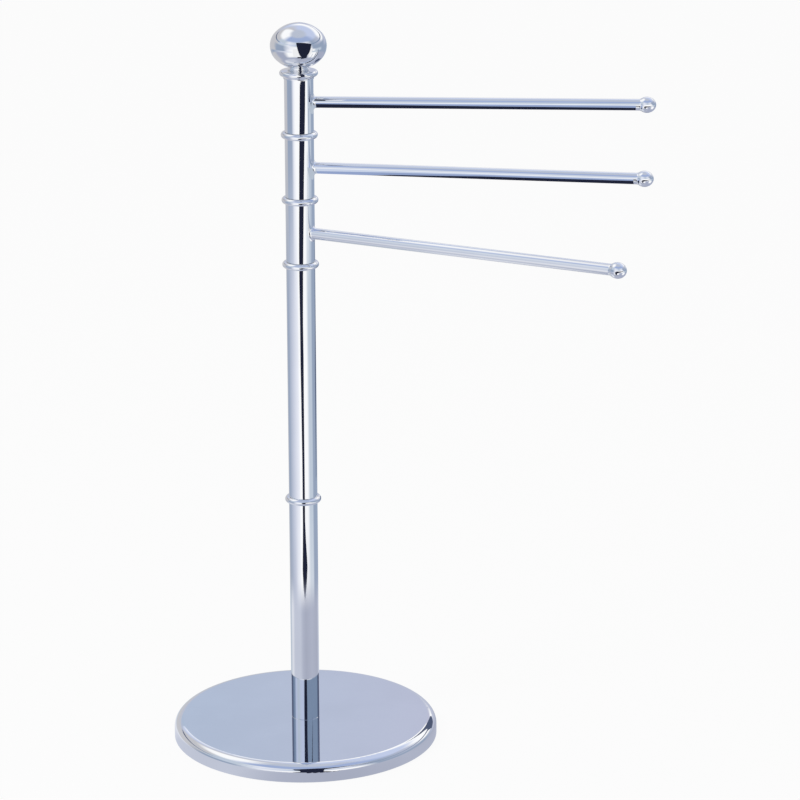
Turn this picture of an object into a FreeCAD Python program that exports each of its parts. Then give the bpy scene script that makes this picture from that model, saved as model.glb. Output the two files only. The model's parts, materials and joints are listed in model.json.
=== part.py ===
import FreeCAD, Part
import math
import os

# Freestanding towel stand with three swivelling bars on one post, in millimetres.
# The origin is the centre of the underside, on the post's axis. +Z is up.
# At rest the bars reach out towards +X, each turned a little further towards -Y than the one above.

# Base
base_radius = 150.0
base_height = 21.0
rim_round = 10.0
cover_wall = 1.2
cover_floor_gap = 1.0
pad_thickness = 2.0
pad_inset = 7.0
weight_side_gap = 0.8
weight_web = 7.0
weight_rim_width = 18.0
weight_hub_radius = 30.0
weight_rib_count = 6
weight_rib_width = 8.0
casting_draft = 1.5

# Post tubes and the rings between them
post_radius = 16.0
post_wall = 1.2
tube_foot_chamfer = 0.4
lower_tube_length = 258.4
upper_tube_length = 265.5
ring_overhang = 4.25
ring_height = 7.0
spigot_length = 6.0
plug_length = 12.0
register_inset = 2.8
register_depth = 2.5

# Swivel stack
shaft_radius = 8.0
sleeve_length = 65.6
end_gap = 0.2
bush_length = 12.0
bush_proud = 0.1
running_clearance = 0.05
cap_overhang = 5.1
cap_rim_height = 6.2
cap_foot_height = 2.8
cap_foot_wall = 0.6
cap_overlap = 6.5
cap_side_gap = 0.2
cap_boss_rise = 0.5

# Bars
bar_radius = 6.25
bar_wall = 1.2
bar_reach = 378.0
boss_length = 5.0
boss_fillet = 3.5
boss_spigot_length = 12.0
knob_swell = 2.5
knob_half_length = 10.0
knob_collar = 13.0
knob_cove = 5.0
knob_spigot_length = 12.0
bar_turns = {"upper": -4.56, "middle": -10.43, "lower": -27.78}

# Finial
ball_radius = 30.8
ball_half_height = 25.0
ball_wall = 1.5
ball_seat_radius = 11.2
neck_height = 3.3
neck_foot_radius = 12.4
neck_cove_depth = 0.4
neck_foot_height = 1.2
insert_radius = 8.0
insert_length = 22.0

# Fasteners
thread_radius = 5.0
shaft_thread_radius = 6.0
bolt_head_across_flats = 17.0
bolt_head_height = 6.4
bolt_head_floor_gap = 0.6
bolt_length = 22.0
bolt_hole_slack = 0.3
washer_radius = 15.0
washer_thickness = 2.5
lock_washer_radius = 9.0
lock_washer_thickness = 2.5
lock_washer_split = 2.4
stud_engagement = 10.0
shaft_thread_length = 13.0
finial_thread_engagement = 18.0
spring_radius = 9.6
spring_thickness = 0.8
spring_room = 1.6
spring_slack = 0.3

# Levels and sizes that follow from the values above
cover_inside = base_height - cover_wall
pad_radius = base_radius - pad_inset
tube_bore = post_radius - post_wall
register_radius = tube_bore - register_inset
ring_radius = post_radius + ring_overhang
cap_radius = post_radius + cap_overhang
bar_bore = bar_radius - bar_wall
knob_radius = bar_radius + knob_swell
joint_ring_level = base_height + lower_tube_length
upper_tube_level = joint_ring_level + ring_height
stack_level = upper_tube_level + upper_tube_length
stack_pitch = ring_height + 2 * end_gap + sleeve_length
sleeve_levels = {}
ring_levels = {}
for place, name in enumerate(["lower", "middle", "upper"]):
    ring_levels[name] = stack_level + place * stack_pitch
    sleeve_levels[name] = ring_levels[name] + ring_height + end_gap
stack_top = sleeve_levels["upper"] + sleeve_length
cap_level = stack_top - cap_overlap
cap_rim_level = cap_level + cap_foot_height
cap_top = cap_rim_level + cap_rim_height + cap_boss_rise
ball_seat = cap_top + neck_height
shaft_shoulder = cap_top + spring_room
head_plug_top = stack_level - spigot_length


def vec(x, y=0.0, z=0.0):
    return FreeCAD.Vector(x, y, z)


def line(start, end):
    """A straight edge in the plane through the axis; points are (radius, level)."""
    return Part.LineSegment(vec(start[0], 0, start[1]), vec(end[0], 0, end[1])).toShape()


def arc(start, middle, end):
    """A circular edge in the same plane."""
    points = [vec(point[0], 0, point[1]) for point in (start, middle, end)]
    return Part.Arc(*points).toShape()


def turned(edges):
    """A solid of revolution about +Z from edges that close an outline."""
    outline = Part.Wire(Part.__sortEdges__(edges))
    return Part.Face(outline).revolve(vec(0), vec(0, 0, 1), 360)


def turned_outline(points):
    """The same from the corners of a straight-sided outline."""
    edges = []
    for index, point in enumerate(points):
        edges.append(line(points[index - 1], point))
    return turned(edges)


def hollow_cylinder(inner, outer, low, high):
    return turned_outline([(inner, low), (outer, low), (outer, high), (inner, high)])


def rounded_disc(bore, radius, low, height):
    """A disc whose edge is a full half round, with a bore."""
    half = height / 2
    centre = radius - half
    high = low + height
    return turned([
        line((bore, low), (centre, low)),
        arc((centre, low), (radius, low + half), (centre, high)),
        line((centre, high), (bore, high)),
        line((bore, high), (bore, low)),
    ])


def crown_radius(radius, half_height):
    """The radius of an oval's arcs round its poles; they meet its side arc where it slopes at 45 degrees."""
    return half_height + (radius - half_height) / (2 - math.sqrt(2))


def oval_depth(radius, half_height, low_radius):
    """How far below its middle an oval's underside has the given radius."""
    crown = crown_radius(radius, half_height)
    return math.sqrt(crown ** 2 - low_radius ** 2) - crown + half_height


def oval_side(radius, half_height, low_radius, centre):
    """The edges of an oval ball of tangent arcs, from a low point at the given radius up to the pole."""
    crown = crown_radius(radius, half_height)
    low = math.asin(low_radius / crown)
    join = math.pi / 4

    def crown_point(turn, upwards):
        rise = half_height - crown + crown * math.cos(turn)
        return (crown * math.sin(turn), centre + upwards * rise)

    return [
        arc(crown_point(low, -1), crown_point((low + join) / 2, -1), crown_point(join, -1)),
        arc(crown_point(join, -1), (radius, centre), crown_point(join, 1)),
        arc(crown_point(join, 1), crown_point(join / 2, 1), crown_point(0, 1)),
    ]


def egg(radius, half_length):
    """An ellipsoid drawn out along Z, with its middle at the origin."""
    ellipse = Part.Ellipse(vec(0, 0, half_length), vec(radius), vec(0))
    side = Part.ArcOfEllipse(ellipse, 0, math.pi).toBSpline()
    return turned([side.toShape(), line((0, half_length), (0, -half_length))])


def rounded_corner(centre, radius):
    """The top outer quarter round about a centre."""
    slant = radius * math.sqrt(0.5)
    return arc((centre[0] + radius, centre[1]),
               (centre[0] + slant, centre[1] + slant),
               (centre[0], centre[1] + radius))


def base_cover():
    """Drawn shell: flat top, quarter-round shoulder, straight skirt, hole for the post's register."""
    corner = (base_radius - rim_round, base_height - rim_round)
    hole = register_radius + bolt_hole_slack
    skirt = base_radius - cover_wall
    return turned([
        line((skirt, cover_floor_gap), (base_radius, cover_floor_gap)),
        line((base_radius, cover_floor_gap), (base_radius, corner[1])),
        rounded_corner(corner, rim_round),
        line((corner[0], base_height), (hole, base_height)),
        line((hole, base_height), (hole, cover_inside)),
        line((hole, cover_inside), (corner[0], cover_inside)),
        rounded_corner(corner, rim_round - cover_wall),
        line((skirt, corner[1]), (skirt, cover_floor_gap)),
    ])


def weight_pockets():
    """The ring of cored pockets under the casting, divided by ribs that widen upwards."""
    depth = cover_inside - weight_web - pad_thickness
    inner = weight_hub_radius
    outer = base_radius - cover_wall - weight_side_gap - weight_rim_width
    low = pad_thickness
    high = pad_thickness + depth
    pockets = turned_outline([
        (inner, low),
        (outer, low),
        (outer - casting_draft, high),
        (inner + casting_draft, high),
    ])
    half = weight_rib_width / 2
    section = Part.makePolygon([
        vec(0, -half, low),
        vec(0, half, low),
        vec(0, half + casting_draft, high),
        vec(0, -half - casting_draft, high),
        vec(0, -half, low),
    ])
    for index in range(weight_rib_count):
        rib = Part.Face(section).extrude(vec(outer + weight_rim_width, 0, 0))
        rib.rotate(vec(0), vec(0, 0, 1), 360 * index / weight_rib_count)
        pockets = pockets.cut(rib)
    return pockets


def base_weight():
    """Iron casting that fills the cover: web, rim, hub and ribs, with the bolt's recess under the hub."""
    radius = base_radius - cover_wall - weight_side_gap
    round_over = rim_round - cover_wall
    corner = (radius - round_over, cover_inside - round_over)
    register_floor = base_height - register_depth
    register_wall = register_radius + bolt_hole_slack
    bolt_wall = thread_radius + bolt_hole_slack
    recess_wall = washer_radius + bolt_hole_slack
    casting = turned([
        line((recess_wall, pad_thickness), (radius, pad_thickness)),
        line((radius, pad_thickness), (radius, corner[1])),
        rounded_corner(corner, round_over),
        line((corner[0], cover_inside), (register_wall, cover_inside)),
        line((register_wall, cover_inside), (register_wall, register_floor)),
        line((register_wall, register_floor), (bolt_wall, register_floor)),
        line((bolt_wall, register_floor), (bolt_wall, bolt_seat())),
        line((bolt_wall, bolt_seat()), (recess_wall, bolt_seat())),
        line((recess_wall, bolt_seat()), (recess_wall, pad_thickness)),
    ])
    return casting.cut(weight_pockets())


def bolt_seat():
    """The level of the face under the hub that the washers bear on."""
    return bolt_head_top() + lock_washer_thickness + washer_thickness


def bolt_head_top():
    return pad_thickness + bolt_head_floor_gap + bolt_head_height


def base_pad():
    return Part.makeCylinder(pad_radius, pad_thickness)


def base_bolt():
    """Hexagon bolt, its head down, with both ends of the hexagon turned to a chamfer."""
    low = pad_thickness + bolt_head_floor_gap
    high = bolt_head_top()
    corner_radius = bolt_head_across_flats / math.sqrt(3)
    corners = []
    for index in range(7):
        turn = math.radians(60 * index)
        corners.append(vec(corner_radius * math.cos(turn), corner_radius * math.sin(turn), low))
    hexagon = Part.Face(Part.makePolygon(corners)).extrude(vec(0, 0, bolt_head_height))
    chamfer = corner_radius - bolt_head_across_flats / 2
    turned_head = turned_outline([
        (0, low),
        (corner_radius - chamfer, low),
        (corner_radius, low + chamfer),
        (corner_radius, high),
        (0, high),
    ])
    shank = Part.makeCylinder(thread_radius, bolt_length, vec(0, 0, high))
    return hexagon.common(turned_head).fuse(shank).removeSplitter()


def base_lock_washer():
    """Split spring washer under the bolt's head."""
    low = bolt_head_top()
    washer = hollow_cylinder(thread_radius, lock_washer_radius, low, low + lock_washer_thickness)
    split = Part.makeBox(lock_washer_radius * 2, lock_washer_split, lock_washer_thickness,
                         vec(0, -lock_washer_split / 2, low))
    return washer.cut(split)


def base_flat_washer():
    low = bolt_head_top() + lock_washer_thickness
    return hollow_cylinder(thread_radius, washer_radius, low, low + washer_thickness)


def post_tube(low, length):
    """Tube with its outer edge broken at the foot."""
    high = low + length
    return turned_outline([
        (tube_bore, low),
        (post_radius - tube_foot_chamfer, low),
        (post_radius, low + tube_foot_chamfer),
        (post_radius, high),
        (tube_bore, high),
    ])


def tube_plug(low, hole_radius):
    """Threaded steel slug welded inside the end of a tube."""
    return hollow_cylinder(hole_radius, tube_bore, low, low + plug_length)


def foot_plug():
    """The lower tube's slug, with the register that centres the post in the base."""
    register = hollow_cylinder(thread_radius, register_radius, base_height - register_depth, base_height)
    return tube_plug(base_height, thread_radius).fuse(register).removeSplitter()


def joint_ring():
    """Ring between the two tubes, with a spigot into each."""
    ring = rounded_disc(thread_radius, ring_radius, joint_ring_level, ring_height)
    spigot = hollow_cylinder(thread_radius, tube_bore, joint_ring_level - spigot_length,
                             upper_tube_level + spigot_length)
    return ring.fuse(spigot).removeSplitter()


def joint_stud():
    """Stud through the ring into the slugs on both sides of it."""
    low = joint_ring_level - spigot_length - stud_engagement
    high = upper_tube_level + spigot_length + stud_engagement
    return Part.makeCylinder(thread_radius, high - low, vec(0, 0, low))


def stack_ring(name):
    """Ring that slides on the shaft; the lowest one also has a spigot into the tube."""
    low = ring_levels[name]
    ring = rounded_disc(shaft_radius, ring_radius, low, ring_height)
    if low > stack_level:
        return ring
    spigot = hollow_cylinder(shaft_radius, tube_bore, low - spigot_length, low)
    return ring.fuse(spigot).removeSplitter()


def pivot_shaft():
    """The fixed shaft, turned down at both ends for its threads."""
    foot = Part.makeCylinder(shaft_thread_radius, shaft_thread_length,
                             vec(0, 0, head_plug_top - shaft_thread_length))
    body = Part.makeCylinder(shaft_radius, shaft_shoulder - head_plug_top, vec(0, 0, head_plug_top))
    head_length = ball_seat - shaft_shoulder + finial_thread_engagement
    head = Part.makeCylinder(thread_radius, head_length, vec(0, 0, shaft_shoulder))
    return foot.fuse(body).fuse(head)


def swivel_sleeve(name):
    """Tube section with the boss that carries a bar, blended into it by a fillet all round."""
    low = sleeve_levels[name]
    middle = low + sleeve_length / 2
    reach = post_radius + boss_length
    tube = Part.makeCylinder(post_radius, sleeve_length, vec(0, 0, low))
    tube.rotate(vec(0), vec(0, 0, 1), 180)
    boss = Part.makeCylinder(bar_radius, reach, vec(0, 0, middle), vec(1, 0, 0))
    body = tube.fuse(boss)
    saddle = []
    for edge in body.Edges:
        box = edge.BoundBox
        inside_length = box.ZMin > low and box.ZMax < low + sleeve_length
        if inside_length and box.XMax < reach - boss_fillet / 2:
            saddle.append(edge)
    body = body.makeFillet(boss_fillet, saddle)
    spigot = Part.makeCylinder(bar_bore, reach + boss_spigot_length, vec(0, 0, middle), vec(1, 0, 0))
    bore = Part.makeCylinder(tube_bore, sleeve_length, vec(0, 0, low))
    return body.fuse(spigot).cut(bore)


def bush(low):
    """Plain bush pressed in a sleeve and running on the shaft."""
    return hollow_cylinder(shaft_radius + running_clearance, tube_bore, low, low + bush_length)


def bush_levels(name):
    """The levels of a sleeve's two bushes, each standing a little proud of the sleeve's end."""
    low = sleeve_levels[name] - bush_proud
    high = sleeve_levels[name] + sleeve_length + bush_proud - bush_length
    return {"bottom": low, "top": high}


def along_bar(shape, name, distance):
    """Lays a shape made on +Z along the bar's direction, at a distance from the post's axis."""
    shape.rotate(vec(0), vec(0, 1, 0), 90)
    shape.translate(vec(distance, 0, sleeve_levels[name] + sleeve_length / 2))
    return shape


def bar(name):
    """Tube from the boss's shoulder to the knob's collar."""
    start = post_radius + boss_length
    length = bar_reach - knob_collar - start
    return along_bar(hollow_cylinder(bar_bore, bar_radius, 0, length), name, start)


def knob(name):
    """Egg-shaped end, blended by a cove into a collar of the bar's own diameter."""
    collar = Part.makeCylinder(bar_radius, knob_collar, vec(0, 0, -knob_collar))
    body = egg(knob_radius, knob_half_length).fuse(collar)
    joint = []
    for edge in body.Edges:
        box = edge.BoundBox
        flat = box.ZLength < box.XLength / 100
        if flat and -knob_half_length < box.ZMin < 0 and abs(box.XMax - bar_radius) < bar_wall:
            joint.append(edge)
    body = body.makeFillet(knob_cove, joint)
    spigot = Part.makeCylinder(bar_bore, knob_spigot_length, vec(0, 0, -knob_collar - knob_spigot_length))
    return along_bar(body.fuse(spigot), name, bar_reach)


def top_cap():
    """Flange over the stack: a half-round rim on a coved foot, counterbored to hide the sleeve's end."""
    counterbore_wall = post_radius + cap_side_gap
    counterbore_top = stack_top + end_gap
    foot = counterbore_wall + cap_foot_wall
    rim_inside = cap_radius - cap_rim_height / 2
    rim_middle = cap_rim_level + cap_rim_height / 2
    rim_top = cap_rim_level + cap_rim_height
    cove_share = 1 - math.sqrt(0.5)
    cove = (foot + (rim_inside - foot) * cove_share, cap_rim_level - cap_foot_height * cove_share)
    return turned([
        line((shaft_radius, counterbore_top), (counterbore_wall, counterbore_top)),
        line((counterbore_wall, counterbore_top), (counterbore_wall, cap_level)),
        line((counterbore_wall, cap_level), (foot, cap_level)),
        arc((foot, cap_level), cove, (rim_inside, cap_rim_level)),
        arc((rim_inside, cap_rim_level), (cap_radius, rim_middle), (rim_inside, rim_top)),
        line((rim_inside, rim_top), (neck_foot_radius, cap_top)),
        line((neck_foot_radius, cap_top), (shaft_radius, cap_top)),
        line((shaft_radius, cap_top), (shaft_radius, counterbore_top)),
    ])


def disc_spring():
    """Coned spring washer that presses the cap down on the stack."""
    inner = shaft_radius
    outer = spring_radius
    return turned_outline([
        (inner, shaft_shoulder - spring_thickness),
        (outer, cap_top),
        (outer, cap_top + spring_thickness),
        (inner, shaft_shoulder),
    ])


def finial_neck():
    """Turned neck under the ball: a bead at the foot, a cove above it and a recess for the spring."""
    bead = neck_foot_height / 2
    foot_edge = neck_foot_radius - bead
    foot_top = cap_top + neck_foot_height
    waist = ((foot_edge + ball_seat_radius) / 2 - neck_cove_depth, (foot_top + ball_seat) / 2)
    recess = spring_radius + spring_slack
    return turned([
        line((recess, cap_top), (foot_edge, cap_top)),
        arc((foot_edge, cap_top), (neck_foot_radius, cap_top + bead), (foot_edge, foot_top)),
        arc((foot_edge, foot_top), waist, (ball_seat_radius, ball_seat)),
        line((ball_seat_radius, ball_seat), (thread_radius, ball_seat)),
        line((thread_radius, ball_seat), (thread_radius, shaft_shoulder)),
        line((thread_radius, shaft_shoulder), (recess, shaft_shoulder)),
        line((recess, shaft_shoulder), (recess, cap_top)),
    ])


def finial_ball():
    """Hollow flattened ball with a flat seat and a hole for its insert."""
    inner_radius = ball_radius - ball_wall
    inner_half_height = ball_half_height - ball_wall
    centre = ball_seat + oval_depth(ball_radius, ball_half_height, ball_seat_radius)
    mouth = centre - oval_depth(inner_radius, inner_half_height, insert_radius)
    pole = centre + ball_half_height
    ends = [
        line((insert_radius, ball_seat), (ball_seat_radius, ball_seat)),
        line((0, pole), (0, pole - ball_wall)),
        line((insert_radius, mouth), (insert_radius, ball_seat)),
    ]
    outside = oval_side(ball_radius, ball_half_height, ball_seat_radius, centre)
    inside = oval_side(inner_radius, inner_half_height, insert_radius, centre)
    return turned(outside + inside + ends)


def finial_insert():
    """Threaded insert brazed in the ball's underside."""
    return hollow_cylinder(thread_radius, insert_radius, ball_seat, ball_seat + insert_length)


def export(node, shape):
    shape.exportStep("parts/" + node + ".step")


def export_base():
    export("base_cover", base_cover())
    export("base_weight", base_weight())
    export("base_pad", base_pad())
    export("base_bolt", base_bolt())
    export("base_lock_washer", base_lock_washer())
    export("base_flat_washer", base_flat_washer())


def export_post():
    export("lower_tube", post_tube(base_height, lower_tube_length))
    export("lower_tube_foot_plug", foot_plug())
    export("lower_tube_head_plug", tube_plug(joint_ring_level - spigot_length - plug_length, thread_radius))
    export("joint_ring", joint_ring())
    export("joint_stud", joint_stud())
    export("upper_tube", post_tube(upper_tube_level, upper_tube_length))
    export("upper_tube_foot_plug", tube_plug(upper_tube_level + spigot_length, thread_radius))
    export("upper_tube_head_plug", tube_plug(head_plug_top - plug_length, shaft_thread_radius))


def export_stack():
    export("pivot_shaft", pivot_shaft())
    for name in ring_levels:
        export("ring_" + name, stack_ring(name))
    export("top_cap", top_cap())
    export("disc_spring", disc_spring())
    export("finial_neck", finial_neck())
    export("finial_insert", finial_insert())
    export("finial_ball", finial_ball())


def export_arm(name):
    pieces = {
        "sleeve_" + name: swivel_sleeve(name),
        "bar_" + name: bar(name),
        "knob_" + name: knob(name),
    }
    for end, level in bush_levels(name).items():
        pieces["bush_" + name + "_" + end] = bush(level)
    for node, shape in pieces.items():
        shape.rotate(vec(0), vec(0, 0, 1), bar_turns[name])
        export(node, shape)


os.makedirs("parts", exist_ok=True)
export_base()
export_post()
export_stack()
for arm in bar_turns:
    export_arm(arm)
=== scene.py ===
import json
import math

import bpy
from mathutils import Matrix, Vector

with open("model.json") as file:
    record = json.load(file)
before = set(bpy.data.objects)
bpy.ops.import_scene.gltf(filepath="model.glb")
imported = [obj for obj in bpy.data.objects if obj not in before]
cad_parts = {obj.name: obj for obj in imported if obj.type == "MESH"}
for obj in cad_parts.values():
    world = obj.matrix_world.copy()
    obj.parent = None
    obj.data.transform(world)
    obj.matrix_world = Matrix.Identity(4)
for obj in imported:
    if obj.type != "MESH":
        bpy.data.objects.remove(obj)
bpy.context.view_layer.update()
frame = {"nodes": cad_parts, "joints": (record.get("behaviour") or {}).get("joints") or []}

# ---------------------------------------------------------------- colours
# Display values, 0 to 255, of what surrounds the object and shows in its plating.

WHITE = (255, 255, 255)
OFF_WHITE = (236, 238, 246)
GREY_BACKDROP = (196, 196, 200)
SLATE_WALL = (150, 164, 186)
DEEP_SLATE = (128, 146, 172)
SILVER_WALL = (192, 203, 216)
LAVENDER_WALL = (186, 191, 209)
BASE_LEFT = (172, 188, 210)
BASE_MIDDLE = (182, 191, 212)
BASE_RIGHT = (190, 191, 212)
BLUE_WALL = (160, 176, 212)
PALE_BLUE = (196, 206, 232)
PALE_CEILING = (188, 195, 210)
LAVENDER_FLOOR = (166, 172, 192)
PALE_FLOOR = (205, 210, 225)
# Painted shade in the floor's reflection round the base.
FLOOR_PAINTED_SHADE = (178, 183, 201)
# Painted reflections along the bars: a pale front and a blue band.
BAR_PAINTED_PALE = (214, 224, 244)
BAR_PAINTED_BLUE = (156, 173, 212)
DARK_SLATE = (84, 94, 120)
# Painted dark reflections: the post's stripe, the ball's front, and the bars' undersides as
# painted shade.
NAVY_PAINTED_DARK = (34, 38, 58)


def linear(colour):
    """The linear value, with alpha, of a display colour."""
    channels = [value / 255 for value in colour]
    bent = [c / 12.92 if c <= 0.04045 else ((c + 0.055) / 1.055) ** 2.4 for c in channels]
    return (*bent, 1.0)


# ---------------------------------------------------------------- node helpers


def add_node(tree, kind, settings=None, **inputs):
    """A new node with its properties set and its inputs set or linked."""
    node = tree.nodes.new(kind)
    for name, value in (settings or {}).items():
        setattr(node, name, value)
    for name, value in inputs.items():
        key = int(name[1:]) if name[0] == "i" and name[1:].isdigit() else name.replace("_", " ")
        if isinstance(value, bpy.types.NodeSocket):
            tree.links.new(value, node.inputs[key])
        else:
            node.inputs[key].default_value = value
    return node


def math_node(tree, operation, first, second=0.0):
    node = add_node(tree, "ShaderNodeMath", {"operation": operation}, i0=first, i1=second)
    return node.outputs[0]


def weighted_sum(tree, first, first_share, second):
    """The mean of two values, of which the first counts for some share."""
    first_part = math_node(tree, "MULTIPLY", first, first_share)
    second_part = math_node(tree, "MULTIPLY", second, 1.0 - first_share)
    return math_node(tree, "ADD", first_part, second_part)


def smooth_range(tree, value, low, high, to_low=0.0, to_high=1.0):
    """value from low to high, eased into the range to_low to to_high."""
    node = add_node(
        tree, "ShaderNodeMapRange", {"interpolation_type": "SMOOTHSTEP"}, Value=value,
        From_Min=low, From_Max=high, To_Min=to_low, To_Max=to_high,
    )
    return node.outputs["Result"]


def mix_colour(tree, factor, first, second):
    """first at factor 0, second at factor 1."""
    node = add_node(tree, "ShaderNodeMix", {"data_type": "RGBA"}, i0=factor, i6=first, i7=second)
    return node.outputs[2]


# ---------------------------------------------------------------- camera

CAMERA_PLACE = Vector((0.0, -3.8627, 1.5864))
CAMERA_TURN = 0.028265     # radians to the right of straight ahead
CAMERA_DROP = 0.298544     # radians below the horizon
CAMERA_ROLL = -0.002673
CAMERA_LENS = 162.94       # millimetres
CAMERA_SENSOR = 36.0       # millimetres
CAMERA_REACH = 100.0


def make_camera():
    """The camera that took the photograph, as fitted to the base, the post and the rings."""
    ahead = Vector((
        math.sin(CAMERA_TURN) * math.cos(CAMERA_DROP),
        math.cos(CAMERA_TURN) * math.cos(CAMERA_DROP),
        -math.sin(CAMERA_DROP),
    ))
    level = Vector((math.cos(CAMERA_TURN), -math.sin(CAMERA_TURN), 0.0))
    upright = level.cross(ahead)
    right = math.cos(CAMERA_ROLL) * level + math.sin(CAMERA_ROLL) * upright
    up = math.cos(CAMERA_ROLL) * upright - math.sin(CAMERA_ROLL) * level
    data = bpy.data.cameras.new("camera")
    data.lens = CAMERA_LENS
    data.sensor_width = CAMERA_SENSOR
    data.clip_end = CAMERA_REACH
    camera = bpy.data.objects.new("camera", data)
    turn = Matrix((right, up, -ahead)).transposed()
    camera.matrix_world = Matrix.Translation(CAMERA_PLACE) @ turn.to_4x4()
    bpy.context.scene.collection.objects.link(camera)
    bpy.context.scene.camera = camera


# ---------------------------------------------------------------- studio
# The room's colours by azimuth, in bands by elevation, all in degrees. Azimuth is counted from
# straight in front of the object, + to the right.

DEEP_BAND = ((-180, LAVENDER_FLOOR), (180, LAVENDER_FLOOR))
LOW_BAND = (
    (-180, GREY_BACKDROP), (-120, GREY_BACKDROP), (-100, LAVENDER_FLOOR), (-68, LAVENDER_FLOOR),
    (-44, WHITE), (-6, WHITE), (12, LAVENDER_FLOOR), (44, LAVENDER_FLOOR), (54, WHITE),
    (84, WHITE), (100, LAVENDER_FLOOR), (180, LAVENDER_FLOOR),
)
KNEE_BAND = (
    (-180, GREY_BACKDROP), (-125, SLATE_WALL), (-70, PALE_FLOOR), (-30, OFF_WHITE),
    (-20, WHITE), (40, WHITE), (58, SILVER_WALL), (84, SILVER_WALL), (96, SLATE_WALL),
    (180, SLATE_WALL),
)
POST_BAND = (
    (-180, GREY_BACKDROP), (-112, GREY_BACKDROP), (-100, SLATE_WALL), (-62, SLATE_WALL),
    (-44, OFF_WHITE), (-30, WHITE), (66, WHITE), (76, SILVER_WALL), (100, SILVER_WALL),
    (112, SLATE_WALL), (180, SLATE_WALL),
)
HORIZON_BAND = (
    (-180, GREY_BACKDROP), (-120, GREY_BACKDROP), (-98, SLATE_WALL), (-66, SLATE_WALL),
    (-36, OFF_WHITE), (-12, WHITE), (46, WHITE), (64, SLATE_WALL), (122, SLATE_WALL),
    (146, LAVENDER_WALL), (180, LAVENDER_WALL),
)
UPPER_BAND = (
    (-180, LAVENDER_WALL), (-150, GREY_BACKDROP), (-104, GREY_BACKDROP), (-92, SILVER_WALL),
    (-64, SILVER_WALL), (-42, OFF_WHITE), (0, SILVER_WALL), (36, OFF_WHITE), (64, SLATE_WALL),
    (110, LAVENDER_WALL), (128, WHITE), (164, WHITE), (174, LAVENDER_WALL),
    (180, LAVENDER_WALL),
)
MIRROR_BAND = (
    (-180, BASE_MIDDLE), (-176, BASE_LEFT), (-154, LAVENDER_WALL), (-146, DARK_SLATE),
    (-126, DARK_SLATE), (-108, DEEP_SLATE), (-96, DEEP_SLATE), (-82, PALE_BLUE),
    (-60, SILVER_WALL), (-30, PALE_BLUE), (-16, PALE_BLUE), (0, DEEP_SLATE), (60, DEEP_SLATE),
    (110, DEEP_SLATE), (126, DARK_SLATE), (144, DARK_SLATE), (152, LAVENDER_WALL),
    (176, BASE_RIGHT), (180, BASE_MIDDLE),
)
REAR_BAND = (
    (-180, WHITE), (-166, PALE_BLUE), (-150, GREY_BACKDROP), (-104, GREY_BACKDROP),
    (-92, SILVER_WALL), (-64, SILVER_WALL), (-42, OFF_WHITE), (0, SILVER_WALL),
    (36, OFF_WHITE), (64, SLATE_WALL), (110, LAVENDER_WALL), (128, WHITE), (180, WHITE),
)
HIGH_BAND = (
    (-180, PALE_BLUE), (-156, GREY_BACKDROP), (-144, WHITE), (-92, WHITE), (-60, BLUE_WALL),
    (66, BLUE_WALL), (100, PALE_BLUE), (150, PALE_BLUE), (180, PALE_BLUE),
)

# From DEEP_BAND upwards: each band with the elevations between which it takes over.
LAYERS = (
    (LOW_BAND, -56.0, -42.0),
    (KNEE_BAND, -24.0, -18.0),
    (POST_BAND, -16.0, -12.5),
    (HORIZON_BAND, -9.0, 0.0),
    (UPPER_BAND, 8.0, 16.0),
    (MIRROR_BAND, 20.0, 20.6),
    (REAR_BAND, 23.8, 24.4),
    (HIGH_BAND, 34.0, 46.0),
)
OVERHEAD = (62.0, 76.0)    # where the ceiling takes over

ROOM_STRENGTH = 1.12       # of what the plating mirrors
DOME_STRENGTH = 0.55       # of the light on everything else


def azimuth_band(tree, azimuth, stops):
    """A colour ramp round the compass."""
    share = add_node(
        tree, "ShaderNodeMapRange", None, Value=azimuth, From_Min=-180.0, From_Max=180.0,
    ).outputs["Result"]
    ramp = add_node(tree, "ShaderNodeValToRGB", None, Fac=share)
    elements = ramp.color_ramp.elements
    for _ in range(len(stops) - 2):
        elements.new(0.5)
    for element, (angle, colour) in zip(elements, stops):
        element.position = (angle + 180) / 360
        element.color = linear(colour)
    return ramp.outputs["Color"]


def azimuth_of(tree, point):
    """The azimuth in degrees of a point or direction."""
    axes = add_node(tree, "ShaderNodeSeparateXYZ", None, Vector=point).outputs
    toward = math_node(tree, "MULTIPLY", axes["Y"], -1.0)
    return math_node(tree, "DEGREES", math_node(tree, "ARCTAN2", axes["X"], toward))


def room_colour(tree):
    """The room that the plating mirrors: walls, sweep and ceiling by direction."""
    direction = add_node(tree, "ShaderNodeTexCoord").outputs["Generated"]
    azimuth = azimuth_of(tree, direction)
    height = add_node(tree, "ShaderNodeSeparateXYZ", None, Vector=direction).outputs["Z"]
    elevation = math_node(tree, "DEGREES", math_node(tree, "ARCSINE", height))
    colour = azimuth_band(tree, azimuth, DEEP_BAND)
    for stops, low, high in LAYERS:
        factor = smooth_range(tree, elevation, low, high)
        colour = mix_colour(tree, factor, colour, azimuth_band(tree, azimuth, stops))
    overhead = smooth_range(tree, elevation, *OVERHEAD)
    return mix_colour(tree, overhead, colour, linear(PALE_CEILING))


def background(tree, colour, strength):
    return add_node(tree, "ShaderNodeBackground", None, Color=colour, Strength=strength).outputs[0]


def mix_shader(tree, factor, first, second):
    """first at factor 0, second at factor 1."""
    return add_node(tree, "ShaderNodeMixShader", None, Fac=factor, i1=first, i2=second).outputs[0]


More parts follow.
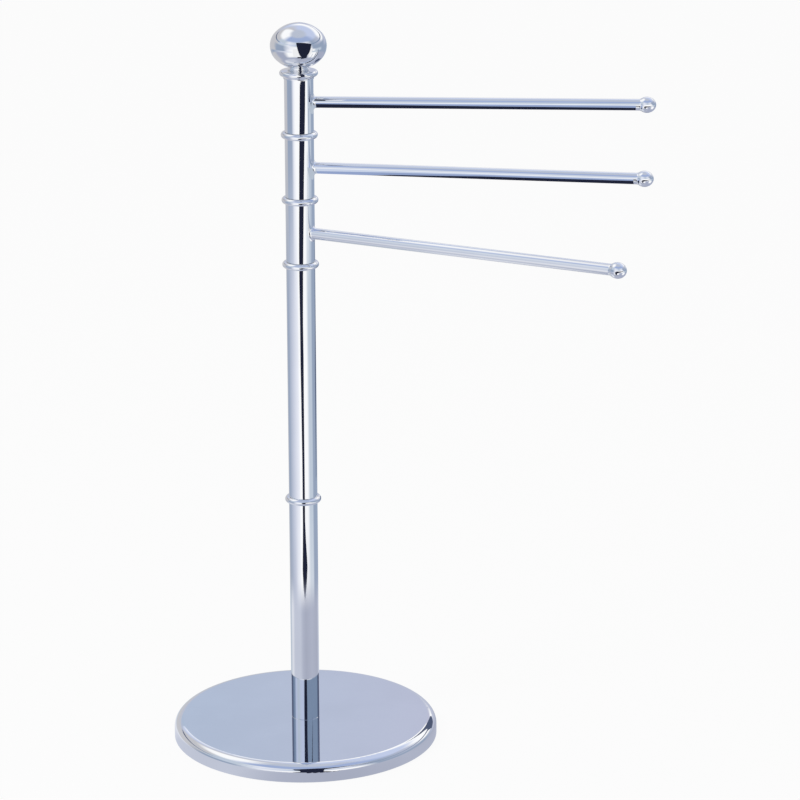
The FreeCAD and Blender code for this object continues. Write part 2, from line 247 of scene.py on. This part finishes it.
def make_world():
    """White to the camera, the room to the plating, a plain dome to everything else."""
    world = bpy.data.worlds.new("studio")
    bpy.context.scene.world = world
    world.use_nodes = True
    tree = world.node_tree
    tree.nodes.clear()
    path = add_node(tree, "ShaderNodeLightPath").outputs
    dome = background(tree, linear(WHITE), DOME_STRENGTH)
    white = background(tree, linear(WHITE), 1.0)
    room = background(tree, room_colour(tree), ROOM_STRENGTH)
    mirrored = math_node(tree, "MAXIMUM", path["Is Glossy Ray"], path["Is Transmission Ray"])
    lit = mix_shader(tree, mirrored, dome, room)
    seen = mix_shader(tree, path["Is Camera Ray"], lit, white)
    add_node(tree, "ShaderNodeOutputWorld", None, Surface=seen)


def mesh_object(name, points, faces):
    mesh = bpy.data.meshes.new(name)
    mesh.from_pydata([tuple(p) for p in points], [], faces)
    piece = bpy.data.objects.new(name, mesh)
    bpy.context.scene.collection.objects.link(piece)
    return piece


FLOOR_HALF = 12.0
FLOOR_PAPER = (0.92, 0.92, 0.93, 1.0)
FLOOR_GLOW_SHARE = 0.93    # of the white that the camera sees; the rest is lit paper


def bare_tree(name):
    """A new material and its empty node tree."""
    material = bpy.data.materials.new(name)
    material.use_nodes = True
    material.node_tree.nodes.clear()
    return material, material.node_tree


def make_floor():
    """A wide pale floor. To the camera it is near white and keeps the shadow."""
    half = FLOOR_HALF
    corners = [(-half, -half, 0), (half, -half, 0), (half, half, 0), (-half, half, 0)]
    floor = mesh_object("floor", corners, [(0, 1, 2, 3)])
    material, tree = bare_tree("floor")
    path = add_node(tree, "ShaderNodeLightPath").outputs
    paper = add_node(tree, "ShaderNodeBsdfDiffuse", None, Color=FLOOR_PAPER).outputs[0]
    glow = add_node(tree, "ShaderNodeEmission", None, Color=linear(WHITE), Strength=1.0).outputs[0]
    share = math_node(tree, "MULTIPLY", path["Is Camera Ray"], FLOOR_GLOW_SHARE)
    surface = mix_shader(tree, share, paper, glow)
    add_node(tree, "ShaderNodeOutputMaterial", None, Surface=surface)
    floor.data.materials.append(material)
    floor.visible_glossy = False


# ---------------------------------------------------------------- glowing cards near the object that paint reflections
# Glowing, unlit sheets that only the plating mirrors, which paint reflections in it, in metres.

# A dark sheet in front of the object, leaning away from it, paints the dark stripe reflected down
# the post. Rows: level, left, right.
POST_STRIPE_PAINTED_ROWS = (
    (-0.035, 0.05, 0.08), (-0.02, -0.05, 0.31), (0.0, -0.11, 0.27), (0.03, -0.075, 0.19),
    (0.06, -0.05, 0.138), (0.14, -0.045, 0.145), (0.21, -0.076, 0.150), (0.26, -0.107, 0.168),
    (0.31, -0.11, 0.155), (0.36, -0.134, 0.206), (0.395, -0.135, 0.27), (0.43, -0.108, 0.355),
    (0.46, -0.075, 0.43), (0.49, -0.052, 0.58), (0.51, -0.035, 0.80), (0.56, 0.03, 1.10),
    (0.61, 0.10, 1.30),
)

# A dark sheet close in front of the ball paints the dark reflection on its front. Rows as above.
BALL_PAINTED_DARK_ROWS = (
    (0.8195, -0.005, 0.041), (0.809, -0.003, 0.034), (0.800, -0.001, 0.030),
    (0.792, 0.001, 0.027), (0.786, 0.003, 0.0245), (0.779, 0.0065, 0.0215),
    (0.765, 0.007, 0.024),
)

# A white sheet just beyond that one paints white into the ball and keeps the post's painted dark
# stripe out of it. Rows as above.
BALL_PAINTED_WHITE_ROWS = ((0.804, -0.012, 0.045), (0.777, -0.012, 0.04))

# Each card's name, colour, distance from the post's axis at floor level, lean per metre of
# height and rows.
UPRIGHT_CARDS = (
    ("post_stripe_painted_dark", NAVY_PAINTED_DARK, 0.57, 0.23, POST_STRIPE_PAINTED_ROWS),
    ("ball_painted_dark", NAVY_PAINTED_DARK, 0.042, 0.0, BALL_PAINTED_DARK_ROWS),
    ("ball_painted_white", WHITE, 0.0445, 0.0, BALL_PAINTED_WHITE_ROWS),
)

# A dark sheet behind the base, to its right, paints the dark reflection on the base's right edge.
# Posts: x, y, low and high level.
SIDE_PAINTED_DARK_POSTS = (
    (0.516, 0.43, 0.083, 0.24), (0.43, 0.49, 0.10, 0.30), (0.335, 0.534, 0.17, 0.425),
    (0.234, 0.56, 0.287, 0.456),
)

# A glowing disc round the base that the plating mirrors in place of the floor: the floor's painted
# reflection, coloured by azimuth with painted shade, with a soft edge.
FLOOR_REFLECTION_RADIUS = 0.56
FLOOR_REFLECTION_FADE = 0.42          # where the edge starts to fade
FLOOR_REFLECTION_LEVEL = -0.002
FLOOR_REFLECTION_CORNERS = 64
FLOOR_REFLECTION_BAND = (
    (-180, SILVER_WALL), (-140, SILVER_WALL), (-110, OFF_WHITE), (-84, PALE_FLOOR),
    (-34, PALE_FLOOR), (-12, LAVENDER_WALL), (10, FLOOR_PAINTED_SHADE), (60, LAVENDER_WALL),
    (118, FLOOR_PAINTED_SHADE), (150, PALE_FLOOR), (180, PALE_FLOOR),
)

# The bars at rest, in degrees from +X.
BAR_TURNS = {"upper": -4.56, "middle": -10.43, "lower": -27.78}

# Curved glowing cards round the front and underside of the two upper bars paint their reflections:
# a pale band at the front, a blue band below, and painted shade underneath. They are given at some
# distances from the post. After each distance come four angles, in degrees from straight ahead
# downwards: where the pale, the blue and the dark card start, and where the dark one ends.
BAR_PAINTED_REFLECTIONS = {
    "upper": ((0.0185, -5, 5, 18, 137), (0.2, -5, 7, 33, 137), (0.366, -5, 8, 38, 105)),
    "middle": (
        (0.0185, -5, 40, 137, 138), (0.06, -5, 30, 130, 138), (0.1, -5, 22, 68, 138),
        (0.2, -5, 10, 35, 137), (0.366, -5, 5, 24, 112),
    ),
}
CARD_RADIUS = 0.0125
COVER_RADIUS = 0.0135      # of the pale back of the dark card
COLLAR_RADIUS = 0.007      # inside radius of the ring that closes the cards at the post
CARD_STEPS = 8
CARD_PARTS = (             # name, number of its first angle, colour, radius
    ("pale", 1, BAR_PAINTED_PALE, CARD_RADIUS),
    ("blue", 2, BAR_PAINTED_BLUE, CARD_RADIUS),
    ("dark", 3, NAVY_PAINTED_DARK, CARD_RADIUS),
    ("cover", 3, BAR_PAINTED_PALE, COVER_RADIUS),
)


def glowing(name, sheet, colour_of, cover_of=None):
    """Makes a mesh a glowing, unlit sheet that only the plating mirrors, a painted reflection,
    clear where its cover is 0.
    """
    material, tree = bare_tree(name)
    surface = add_node(
        tree, "ShaderNodeEmission", None, Color=colour_of(tree), Strength=1.0,
    ).outputs[0]
    if cover_of:
        clear = add_node(tree, "ShaderNodeBsdfTransparent").outputs[0]
        surface = mix_shader(tree, cover_of(tree), clear, surface)
    add_node(tree, "ShaderNodeOutputMaterial", None, Surface=surface)
    sheet.data.materials.append(material)
    sheet.visible_camera = False
    sheet.visible_diffuse = False
    sheet.visible_shadow = False
    sheet.visible_transmission = False


def strip(name, rows, colour):
    """A sheet through rows of points, all rows with as many points."""
    points = [point for row in rows for point in row]
    wide = len(rows[0])
    faces = [
        (wide * r + c, wide * r + c + 1, wide * (r + 1) + c + 1, wide * (r + 1) + c)
        for r in range(len(rows) - 1) for c in range(wide - 1)
    ]
    glowing(name, mesh_object(name, points, faces), lambda tree: linear(colour))


def make_upright_cards():
    """The sheets of painted reflection: the post's dark stripe, the ball's dark front and white
    sheet, and the dark sheet for the base's right edge.
    """
    for name, colour, foot, lean, outline in UPRIGHT_CARDS:
        rows = []
        for level, left, right in outline:
            depth = -foot - lean * level
            rows.append(((left, depth, level), (right, depth, level)))
        strip(name, rows, colour)
    posts = [((x, y, low), (x, y, high)) for x, y, low, high in SIDE_PAINTED_DARK_POSTS]
    # A dark glowing sheet: painted reflection on the base's right edge.
    strip("side_painted_dark", posts, DARK_SLATE)


def make_painted_floor_reflection():
    """A glowing round disc round the base: the floor's painted reflection, with painted shade."""
    rim = []
    for corner in range(FLOOR_REFLECTION_CORNERS):
        angle = math.tau * corner / FLOOR_REFLECTION_CORNERS
        rim.append((FLOOR_REFLECTION_RADIUS * math.cos(angle), FLOOR_REFLECTION_RADIUS * math.sin(angle), FLOOR_REFLECTION_LEVEL))
    painted_floor_reflection = mesh_object("painted_floor_reflection", rim, [tuple(range(FLOOR_REFLECTION_CORNERS))])

    def place(tree):
        return add_node(tree, "ShaderNodeTexCoord").outputs["Object"]

    def colour(tree):
        return azimuth_band(tree, azimuth_of(tree, place(tree)), FLOOR_REFLECTION_BAND)

    def cover(tree):
        length = add_node(tree, "ShaderNodeVectorMath", {"operation": "LENGTH"}, i0=place(tree))
        return smooth_range(tree, length.outputs["Value"], FLOOR_REFLECTION_FADE, FLOOR_REFLECTION_RADIUS, 1.0, 0.0)

    glowing("painted_floor_reflection", painted_floor_reflection, colour, cover)


def bar_level(arm):
    """The level of an arm's bar, which its joint has too."""
    return next(joint["pos_m"][2] for joint in frame["joints"] if joint["child"] == "arm_" + arm)


def make_bar_painted_reflections(arm):
    """Curved glowing cards close round the front and underside of a bar, closed at the post: its
    painted reflection, with painted shade underneath.
    """
    ahead = math.radians(BAR_TURNS[arm])
    level = bar_level(arm)

    def arc(along, first, last, radius):
        """Points round the bar, at a distance from the post and between two angles."""
        points = []
        for step in range(CARD_STEPS + 1):
            angle = math.radians(first + (last - first) * step / CARD_STEPS)
            forward = radius * math.cos(angle)
            points.append((
                along * math.cos(ahead) + forward * math.sin(ahead),
                along * math.sin(ahead) - forward * math.cos(ahead),
                level - radius * math.sin(angle),
            ))
        return points

    stops = BAR_PAINTED_REFLECTIONS[arm]
    for part, start, colour, radius in CARD_PARTS:
        rows = [arc(stop[0], stop[start], stop[start + 1], radius) for stop in stops]
        strip("%s_card_%s" % (part, arm), rows, colour)
    near, first, *_, last = stops[0]
    rows = [arc(near, first, last, radius) for radius in (COLLAR_RADIUS, COVER_RADIUS)]
    strip("collar_card_%s" % arm, rows, SILVER_WALL)


# ---------------------------------------------------------------- lamp

LAMP_PLACE = (-1.9, -1.5, 2.6)
LAMP_AIM = (0.0, 0.0, 0.5)
LAMP_SIDE = 0.9
LAMP_POWER = 22.0          # watts


def make_lamp():
    """A soft lamp from the upper left, which the plating doesn't mirror."""
    data = bpy.data.lights.new("key", "AREA")
    data.shape = "SQUARE"
    data.size = LAMP_SIDE
    data.energy = LAMP_POWER
    lamp = bpy.data.objects.new("key", data)
    lamp.location = LAMP_PLACE
    away = Vector(LAMP_AIM) - Vector(LAMP_PLACE)
    lamp.rotation_euler = away.to_track_quat("-Z", "Y").to_euler()
    lamp.visible_glossy = False
    bpy.context.scene.collection.objects.link(lamp)


# ---------------------------------------------------------------- materials
# Noise scales are per metre, roughness is from 0 to 1, and bump distances are in metres.

CHROME_TINT = (0.865, 0.875, 0.895, 1.0)
CHROME_DEEP = (0.835, 0.845, 0.865, 1.0)
PLATE_CLOUD = 14.0
PLATE_HAZE = 30.0
PLATE_MARKS = 700.0
PLATE_MARKS_SHARE = 0.4          # of the roughness; the rest is haze
PLATE_SMOOTHEST = 0.02
PLATE_BUMP = (0.03, 0.0004)      # strength and distance
METAL_HAZE = 60.0
METAL_MARKS_SHARE = 0.5          # of the colour; the rest is haze
METAL_SPREAD = 0.06              # of the roughness, up and down
METAL_BUMP = (0.2, 0.0001)
STUFF_SPREAD = 0.08
STUFF_BUMP_STRENGTH = 0.4
DRAWN_OUT = 0.03                 # scale of the marks along a tube or a bar

# What part of a noise's values is spread over the whole range.
WIDE_SPAN = (0.3, 0.7)
NARROW_SPAN = (0.35, 0.65)
HIGH_SPAN = (0.35, 0.75)

GROUND_GREY = ((0.48, 0.48, 0.49, 1.0), (0.60, 0.60, 0.60, 1.0))
ZINC_GREY = ((0.55, 0.55, 0.50, 1.0), (0.66, 0.66, 0.66, 1.0))
BRASS_YELLOW = ((0.68, 0.52, 0.26, 1.0), (0.80, 0.65, 0.36, 1.0))
FOAM_BLACK = ((0.035, 0.035, 0.037, 1.0), (0.06, 0.06, 0.063, 1.0))
IRON_BLACK = ((0.06, 0.06, 0.064, 1.0), (0.095, 0.095, 0.1, 1.0))
NYLON_WHITE = ((0.80, 0.79, 0.74, 1.0), (0.87, 0.86, 0.82, 1.0))


def new_material(name):
    """A material with its tree and its principled shader."""
    material, tree = bare_tree(name)
    shader = add_node(tree, "ShaderNodeBsdfPrincipled")
    add_node(tree, "ShaderNodeOutputMaterial", None, Surface=shader.outputs[0])
    return material, tree, shader


def object_point(tree, scale=(1.0, 1.0, 1.0), turn=0.0):
    """The point in the row frame, in metres, turned about +Z and then stretched by scale."""
    point = add_node(tree, "ShaderNodeTexCoord").outputs["Object"]
    turned = add_node(tree, "ShaderNodeMapping", None, Vector=point, Rotation=(0.0, 0.0, turn))
    stretched = add_node(
        tree, "ShaderNodeMapping", None, Vector=turned.outputs["Vector"], Scale=scale,
    )
    return stretched.outputs["Vector"]


def ring_point(tree):
    """The point as (distance from the post's axis, 0, level), so that a noise makes rings."""
    axes = add_node(tree, "ShaderNodeSeparateXYZ", None, Vector=object_point(tree)).outputs
    across = math_node(tree, "POWER", axes["X"], 2.0)
    square = math_node(tree, "ADD", across, math_node(tree, "POWER", axes["Y"], 2.0))
    radius = math_node(tree, "SQRT", square)
    joined = add_node(tree, "ShaderNodeCombineXYZ", None, X=radius, Z=axes["Z"])
    return joined.outputs["Vector"]


def noise(tree, point, scale, detail=3.0):
    return add_node(
        tree, "ShaderNodeTexNoise", None, Vector=point, Scale=scale, Detail=detail,
    ).outputs["Fac"]


def add_bump(tree, shader, height, strength, distance):
    bump = add_node(
        tree, "ShaderNodeBump", None, Height=height, Strength=strength, Distance=distance,
    )
    tree.links.new(bump.outputs["Normal"], shader.inputs["Normal"])


def plating(name, grain, ripple_scale, roughest):
    """Bright chrome plate. grain gives the point on which the polishing marks lie."""
    material, tree, shader = new_material(name)
    shader.inputs["Metallic"].default_value = 1.0
    cloud = smooth_range(tree, noise(tree, object_point(tree), PLATE_CLOUD), *WIDE_SPAN)
    colour = mix_colour(tree, cloud, CHROME_DEEP, CHROME_TINT)
    tree.links.new(colour, shader.inputs["Base Color"])
    marks = noise(tree, grain(tree), PLATE_MARKS, detail=2.0)
    haze = noise(tree, object_point(tree), PLATE_HAZE)
    both = weighted_sum(tree, marks, PLATE_MARKS_SHARE, haze)
    rough = smooth_range(tree, both, *HIGH_SPAN, PLATE_SMOOTHEST, roughest)
    tree.links.new(rough, shader.inputs["Roughness"])
    ripple = noise(tree, object_point(tree), ripple_scale, detail=1.0)
    add_bump(tree, shader, ripple, *PLATE_BUMP)
    return material


def bare_metal(name, dark, bright, marks_scale, rough):
    """Unplated metal with turning marks round the post's axis."""
    material, tree, shader = new_material(name)
    shader.inputs["Metallic"].default_value = 1.0
    marks = noise(tree, ring_point(tree), marks_scale, detail=4.0)
    haze = noise(tree, object_point(tree), METAL_HAZE)
    both = weighted_sum(tree, marks, METAL_MARKS_SHARE, haze)
    colour = mix_colour(tree, smooth_range(tree, both, *WIDE_SPAN), dark, bright)
    tree.links.new(colour, shader.inputs["Base Color"])
    spread = smooth_range(tree, marks, *WIDE_SPAN, rough - METAL_SPREAD, rough + METAL_SPREAD)
    tree.links.new(spread, shader.inputs["Roughness"])
    add_bump(tree, shader, marks, *METAL_BUMP)
    return material


def plain_stuff(name, dark, bright, grain_scale, rough, bump_distance):
    """Paint, plastic or foam with a grained surface."""
    material, tree, shader = new_material(name)
    grain = noise(tree, object_point(tree), grain_scale, detail=4.0)
    colour = mix_colour(tree, smooth_range(tree, grain, *NARROW_SPAN), dark, bright)
    tree.links.new(colour, shader.inputs["Base Color"])
    spread = smooth_range(tree, grain, *WIDE_SPAN, rough - STUFF_SPREAD, rough + STUFF_SPREAD)
    tree.links.new(spread, shader.inputs["Roughness"])
    add_bump(tree, shader, grain, STUFF_BUMP_STRENGTH, bump_distance)
    return material


def along_post(tree):
    """Long marks along the post."""
    return object_point(tree, scale=(1.0, 1.0, DRAWN_OUT))


def bar_grain(turn):
    """Marks along a bar that is turned by some degrees from +X."""
    return lambda tree: object_point(tree, (DRAWN_OUT, 1.0, 1.0), math.radians(-turn))


def make_materials():
    """The materials by the start of a node's name, of which the longest that fits is taken."""
    cover = plating("chrome_cover", ring_point, ripple_scale=22.0, roughest=0.05)
    tube = plating("chrome_tube", along_post, ripple_scale=50.0, roughest=0.045)
    turned = plating("chrome_turned", ring_point, ripple_scale=60.0, roughest=0.045)
    knob = plating("chrome_knob", object_point, ripple_scale=60.0, roughest=0.05)
    ground = bare_metal("ground_steel", *GROUND_GREY, marks_scale=2600.0, rough=0.3)
    zinc = bare_metal("zinc_steel", *ZINC_GREY, marks_scale=900.0, rough=0.4)
    brass = bare_metal("brass", *BRASS_YELLOW, marks_scale=1500.0, rough=0.3)
    foam = plain_stuff("foam", *FOAM_BLACK, grain_scale=1400.0, rough=0.85, bump_distance=0.0004)
    iron = plain_stuff("iron", *IRON_BLACK, grain_scale=420.0, rough=0.6, bump_distance=0.0006)
    nylon = plain_stuff("nylon", *NYLON_WHITE, grain_scale=500.0, rough=0.45, bump_distance=0.0001)
    materials = {
        "base_cover": cover, "lower_tube": tube, "upper_tube": tube, "sleeve": tube,
        "knob": knob, "pivot_shaft": ground, "disc_spring": ground, "finial_insert": brass,
        "base_pad": foam, "base_weight": iron, "bush": nylon,
    }
    for start in ("base_bolt", "base_lock", "base_flat", "joint_stud"):
        materials[start] = zinc
    for start in ("lower_tube_foot", "lower_tube_head", "upper_tube_foot", "upper_tube_head"):
        materials[start] = zinc
    for start in ("joint_ring", "ring", "top_cap", "finial_neck", "finial_ball"):
        materials[start] = turned
    for arm, turn in BAR_TURNS.items():
        materials["bar_" + arm] = plating(
            "chrome_bar_" + arm, bar_grain(turn), ripple_scale=50.0, roughest=0.045,
        )
    return materials


# ---------------------------------------------------------------- scene

make_camera()
make_world()
make_floor()
make_upright_cards()
make_painted_floor_reflection()
for arm in BAR_PAINTED_REFLECTIONS:
    make_bar_painted_reflections(arm)
make_lamp()
materials = make_materials()
for node_name, node in frame["nodes"].items():
    fitting = [start for start in materials if node_name.startswith(start)]
    node.material_slots[0].material = materials[max(fitting, key=len)]

bpy.context.scene.view_settings.view_transform = "Standard"
